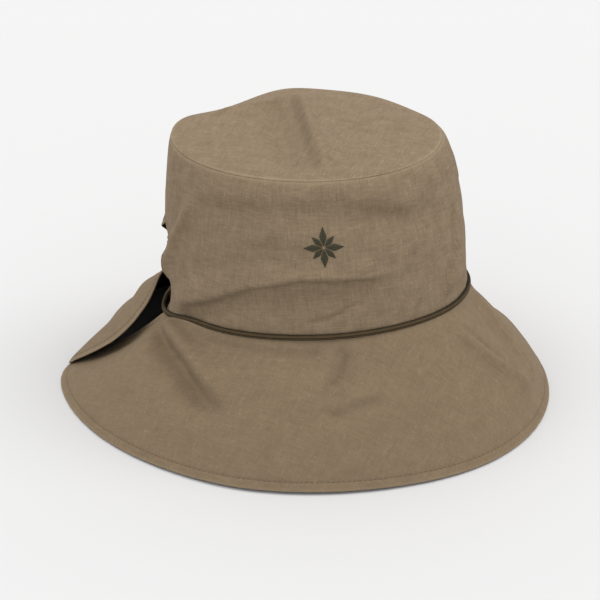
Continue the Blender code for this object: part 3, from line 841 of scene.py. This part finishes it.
# %% Piece: cord
CORD_STAND = 0.42  # how far its middle stands off the cloth, as a share of its width
CORD_POINTS, TAIL_POINTS, CORD_SIDES = 700, 39, 20
CORD_SMOOTHING, TAIL_SMOOTHING = 240, 12
CORD_GROOVE, CORD_GROOVE_SPREAD, CORD_FLATNESS = 0.16, 24.0, 0.84
CORD_END, END_SIZE = 0.0015, 0.02  # where an end narrows, its least share squared

# How each end leaves its corner of the split: steps in metres
NEAR_TAIL = (
    (-0.002, 0.004, 0.002), (0.001, 0.004, 0.005), (0.005, 0.003, 0.006), (0.008, 0.001, 0.004)
)
FAR_TAIL = (
    (0.001, -0.003, 0.001), (0.004, -0.003, 0.003), (0.006, -0.001, 0.003), (0.008, 0.001, 0.002)
)


def lifted(panel, a, b, lift, front=1.0):
    """Points on a panel moved out of its front by lift: two short steps on it give the normal."""
    here = panel(a, b)
    return here + lift * front * unit(np.cross(panel(a + 0.1, b) - here, panel(a, b + 0.004) - here))


def carried(path, out, profile):
    """A profile along a path: out and the arrow square to it and to the path span its plane."""
    on = unit(np.gradient(path, axis=0))
    out = unit(out - np.sum(out * on, 1, keepdims=True) * on)
    up = np.cross(out, on)
    return path[:, None] + profile[..., :1] * out[:, None] + profile[..., 1:] * up[:, None]


def smoothed(path, times):
    """A path with its corners rounded: each inner point goes halfway to its neighbours' middle."""
    path = path.copy()
    for _ in range(times):
        path[1:-1] = (path[:-2] + 2 * path[1:-1] + path[2:]) / 4
    return path


near, far = keyhole(0.0)
round_crown = np.linspace(near + 0.5, far - 0.5, CORD_POINTS)
cord_rise = np.full(CORD_POINTS, CORD_RISE / CROWN_HEIGHT)
cord_path = lifted(side_panel, round_crown, cord_rise, CLOTH / 2 + CORD_WIDTH * CORD_STAND)
cord_path = smoothed(cord_path, CORD_SMOOTHING)
off_wall = cord_path - side_panel(round_crown, cord_rise)


def cord_tail(corner, steps):
    """Points that leave a corner of the crown and turn up into the opening, given as steps."""
    stops = np.concatenate([corner[None], corner + np.cumsum(np.array(steps), axis=0)])
    share, at_stops = np.linspace(0, 1, TAIL_POINTS + 1)[1:], np.linspace(0, 1, len(stops))
    return np.stack([np.interp(share, at_stops, stops[:, k]) for k in range(3)], -1)


near_tail, far_tail = cord_tail(cord_path[0], NEAR_TAIL), cord_tail(cord_path[-1], FAR_TAIL)
path = smoothed(np.concatenate([near_tail[::-1], cord_path, far_tail]), TAIL_SMOOTHING)
out = np.pad(off_wall, ((TAIL_POINTS, TAIL_POINTS), (0, 0)), mode="edge")
angle = np.linspace(0, 2 * np.pi, CORD_SIDES + 1)[:-1]
off_front = np.minimum(np.degrees(angle), 360 - np.degrees(angle))
groove = 1 - CORD_GROOVE * hump(off_front, CORD_GROOVE_SPREAD)
profile = CORD_WIDTH / 2 * np.stack([CORD_FLATNESS * groove * np.cos(angle), np.sin(angle)], -1)
length = measured(path)
ends = np.sqrt(np.clip(np.minimum(length, length[-1] - length) / CORD_END, END_SIZE, 1))
rings = carried(path, out, profile[None] * ends[:, None, None])
count, around = rings.shape[:2]
faces = tube_faces(np.arange(count * around).reshape(count, around))
cord_weave = np.stack(np.broadcast_arrays(length[:, None], angle * CORD_WIDTH / 2), -1)


def twisted_cord(name, deep, main):
    """Cloth cut on the slant and rolled: fine yarns that wind round the cord, a painted highlight along
    its outer middle and painted shade towards its upper and lower edges.
    """
    finish = Finish(name, Specular_IOR_Level=0.2)
    u, v = finish.place()
    yarns = ((u + v) * (2 * np.pi / 0.0012)).sine() * 0.5 + 0.5
    cloud = finish.noise(u / 0.006, v / 0.004, 2.2)
    # Painted highlight along the cord's outward middle, and painted shade where its top and bottom turn
    # away.
    crown = (v * (2 / CORD_WIDTH) + np.pi / 2).sine().within(0.45, 1.0)
    shade = (yarns * 0.2 + cloud * 0.4 + crown * 0.7 - 0.25).within(0, 1)
    finish.feed(Base_Color=finish.mix(shade, deep, main), Roughness=0.9 - yarns * 0.1)
    finish.bump(yarns * 0.6 + cloud * 0.4, 0.00025)
    return finish.material


cord_finish = twisted_cord("cord_cloth", colour(34, 27, 13), colour(86, 70, 47))
cord = mesh_piece(
    "base_cord_roll", rings.reshape(-1, 3), faces, [cord_finish], cord_weave.reshape(-1, 2)
)
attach(cord, "root")
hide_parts("base_cord")
print("cord length", round(length[-1], 3), "m")

# %% [markdown]
# ## Topstitching
#
# A line of machine stitches holds the hems flat, a little in from the edge. Each stitch is a
# short thread that arches over the cloth and dips in at both ends. One stitch is a small grid,
# and the whole row is that grid set down once for each place on the line, all in one sum.

# %% Piece: stitches
THREAD = 0.00042
STITCH_REACH = 0.42  # half a stitch, as a share of the pitch
STITCH_TOP, STITCH_DIP = 0.00012, 0.00030
STITCH_RINGS, STITCH_SIDES = 7, 8


def even_places(panel, a, b):
    """Values of a and b at every stitch along a line on a panel, and the line's length."""
    length = measured(panel(a, b))
    marks = np.arange(STITCH_PITCH / 2, length[-1], STITCH_PITCH)
    return np.interp(marks, length, a), np.interp(marks, length, b), length[-1]


def stitch_row(name, panel, a, b, front, finish):
    """A row of stitches along the line a, b on the front of a panel.

    A stitch is a tube: its height falls with the fourth power of the way from its middle, and its
    thickness as a circle does, nearly to a point.
    """
    a, b, length = even_places(panel, a, b)
    centre = lifted(panel, a, b, CLOTH / 2, front)
    above = unit(lifted(panel, a, b, CLOTH / 2 + 0.001, front) - centre)
    on = unit(np.gradient(centre, axis=0))
    beside = np.cross(above, on)
    share = np.linspace(-1, 1, STITCH_RINGS)[:, None]
    turn = np.linspace(0, 2 * np.pi, STITCH_SIDES + 1)[:-1]
    thick = THREAD / 2 * np.sqrt(1 - 0.94 * share**2)
    ahead = np.broadcast_to(share * STITCH_PITCH * STITCH_REACH, (STITCH_RINGS, STITCH_SIDES))
    across = thick * np.cos(turn)
    height = STITCH_TOP - STITCH_DIP * share**4 + thick * np.sin(turn)
    points = (
        centre[:, None, None]
        + ahead[None, ..., None] * on[:, None, None]
        + across[None, ..., None] * beside[:, None, None]
        + height[None, ..., None] * above[:, None, None]
    )
    one = tube_faces(np.arange(ahead.size).reshape(ahead.shape), turned=True)
    number = np.arange(len(centre))[:, None, None]
    faces = (one + ahead.size * number).reshape(-1, 4)
    weave = np.stack([ahead, across], -1) + number[..., None]
    row = mesh_piece(name, points.reshape(-1, 3), faces, [finish], weave.reshape(-1, 2))
    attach(row, "root")
    print(f"{name}: {len(centre)} stitches over {length:.3f} m")


def thread_finish(name, deep, main):
    """Spun thread: a slight shade along each stitch and a soft gloss."""
    finish = Finish(name, Specular_IOR_Level=0.35)
    u, v = finish.place()
    twist = ((u + v * 2) * (2 * np.pi / 0.0007)).sine() * 0.5 + 0.5
    finish.feed(Base_Color=finish.mix(twist, deep, main), Roughness=0.75 - twist * 0.1)
    finish.bump(twist, 0.00005)
    return finish.material


seam_thread = thread_finish("seam_thread", colour(92, 78, 60), colour(112, 97, 77))


def beside_ends(reach):
    """Angles of the two lines that keep the stitch inset from the ends of the brim."""
    radius = (HEAD_LENGTH + HEAD_WIDTH) / 4 * (1 - reach) + (RIM_LENGTH + RIM_WIDTH) / 4 * reach
    inset = np.degrees(STITCH_INSET / radius)
    near, far = brim_ends(reach)
    return near + inset, far - inset


rim_reach = 1 - STITCH_INSET / BRIM_SLANT
up_the_slit = np.linspace(0.05, rim_reach, 200)
near_line, far_line = beside_ends(up_the_slit)
rim_line = np.linspace(near_line[-1], far_line[-1], 2500)[1:-1]
line_turns = np.concatenate([near_line, rim_line, far_line[::-1]])
line_reach = np.concatenate([up_the_slit, rim_reach + 0 * rim_line, up_the_slit[::-1]])
stitch_row("brim_topstitch", brim_panel, line_turns, line_reach, -1.0, seam_thread)

ARCH_INSET, ARCH_TOP_INSET = 0.0040, 0.0035
share = np.sin(np.linspace(0.04, 1, 300) * np.pi / 2)
inset = np.degrees(ARCH_INSET / (HEAD_LENGTH / 2)) * np.sqrt(1 - share**ARCH_POWER)
arch = share * (KEYHOLE_HEIGHT + ARCH_TOP_INSET) / CROWN_HEIGHT
edges = keyhole(share * KEYHOLE_HEIGHT / CROWN_HEIGHT)
stitch_row("keyhole_near_topstitch", side_panel, edges[0] + inset, arch, 1.0, seam_thread)
stitch_row("keyhole_far_topstitch", side_panel, edges[1] - inset, arch, 1.0, seam_thread)

# %% [markdown]
# ## The embroidered star
#
# The side band carries a small motif in dark thread. This one is an eight-pointed quilt star, an
# old sewing pattern. Each point is a lozenge of satin stitch: threads lie side by side from a
# middle vein to the edge, so the lozenge is a low pillow with fine slanting ribs.

# %% Piece: star
STAR_ANGLE, STAR_RISE = 290.0, 0.61
STAR_LONG, STAR_SHORT, STAR_BREADTH, STAR_EYE = 0.0118, 0.0092, 0.185, 0.0007
PILLOW, RIB, VEIN, VEIN_SPREAD, RIB_PITCH = 0.00060, 0.00024, 0.00036, 0.16, 0.00070
STAR_SUNK, STAR_ROOT = 0.00008, 0.0003


def between(first, second):
    """Distance between two places on the side band, each an angle and a rise."""
    return np.linalg.norm(side_panel(*first) - side_panel(*second))


per_degree = between((STAR_ANGLE + 0.5, STAR_RISE), (STAR_ANGLE - 0.5, STAR_RISE))
per_rise = between((STAR_ANGLE, STAR_RISE + 0.05), (STAR_ANGLE, STAR_RISE - 0.05)) / 0.1
step_out, step_side = np.meshgrid(np.linspace(0, 1, 97), np.linspace(-1, 1, 17), indexing="ij")
star_points, star_faces, made = [], [], 0
for k in range(8):
    reach_out = STAR_LONG if k % 2 == 0 else STAR_SHORT
    heading = np.radians(45 * k + 90)
    width = STAR_BREADTH * reach_out * (1.02 - np.abs(2 * step_out - 1) ** 1.15)  # blunt tips
    ahead, aside = STAR_EYE + (reach_out - STAR_EYE) * step_out, width * step_side
    x = ahead * np.cos(heading) - aside * np.sin(heading)
    y = ahead * np.sin(heading) + aside * np.cos(heading)
    ribs = np.abs(np.sin(np.pi * (reach_out * step_out / RIB_PITCH - 2.0 * np.abs(step_side))))
    pillow = (1 - step_side**2) ** 0.5 * np.sin(np.pi * np.clip(step_out, 0, 1)) ** 0.4
    height = pillow * (PILLOW + RIB * ribs - VEIN * hump(step_side, VEIN_SPREAD))
    at = (STAR_ANGLE + x / per_degree, STAR_RISE + y / per_rise)
    cloth = lifted(side_panel, *at, CLOTH / 2)
    top = cloth + (height - STAR_SUNK)[..., None] * face_on(cloth)
    under = lifted(side_panel, *at, CLOTH / 2 - STAR_ROOT)
    under[[0, -1]], under[:, [0, -1]] = top[[0, -1]], top[:, [0, -1]]
    thread = np.stack([ahead, aside], -1)
    points, faces, _ = two_skins(np.concatenate([top, thread], -1), np.concatenate([under, thread], -1))
    star_points.append(points)
    star_faces.append(faces + made)
    made += len(points)
star_points, star_faces = np.concatenate(star_points), np.concatenate(star_faces)

star_thread = thread_finish("star_thread", colour(26, 26, 14), colour(68, 66, 43))
star = mesh_piece(
    "embroidered_star", star_points[:, :3], star_faces, [star_thread], star_points[:, 3:]
)
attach(star, "root")
print("star", round(2000 * STAR_LONG, 1), "mm across,", 2 * len(star_faces), "triangles")

# %% [markdown]
# ## Floor and light
#
# The hat stands on a plain pale sheet in soft light. An even sky gives most of the light, and two
# broad lamps above make the folds read: the stronger one on the right, a little behind the hat,
# the weaker one on the left. The floor fills the view, so there is no horizon.

# %% Floor, sky and lamps
FLOOR = 6.0  # half its width
LAMP_BREADTH, LAMP_COLOUR = np.radians(35), (1.0, 0.995, 0.99)

floor_corners = [(-FLOOR, -FLOOR, 0), (FLOOR, -FLOOR, 0), (FLOOR, FLOOR, 0), (-FLOOR, FLOOR, 0)]
floor_mesh = bpy.data.meshes.new("floor")
floor_mesh.from_pydata(floor_corners, [], [(0, 1, 2, 3)])
floor = bpy.data.objects.new("floor", floor_mesh)
bpy.context.scene.collection.objects.link(floor)
paper = Finish("pale_floor", Base_Color=(0.57, 0.57, 0.575, 1.0), Roughness=0.9, Specular_IOR_Level=0.1)
floor_mesh.materials.append(paper.material)

sky = bpy.data.worlds.new("soft_sky")
sky.use_nodes = True
background = sky.node_tree.nodes["Background"]
background.inputs["Color"].default_value = (1.0, 0.995, 0.985, 1.0)
background.inputs["Strength"].default_value = 1.15
bpy.context.scene.world = sky

for name, energy, toward_lamp in (
    ("right_softbox", 1.06, (0.55, 0.20, 0.80)),
    ("left_softbox", 0.66, (-0.45, -0.14, 0.85)),
):
    lamp = bpy.data.lights.new(name, "SUN")
    lamp.energy, lamp.angle, lamp.color = energy, LAMP_BREADTH, LAMP_COLOUR
    lamp_object = bpy.data.objects.new(name, lamp)
    lamp_object.rotation_euler = Vector(toward_lamp).to_track_quat("Z", "Y").to_euler()
    bpy.context.scene.collection.objects.link(lamp_object)
bpy.context.scene.view_settings.view_transform = "Standard"
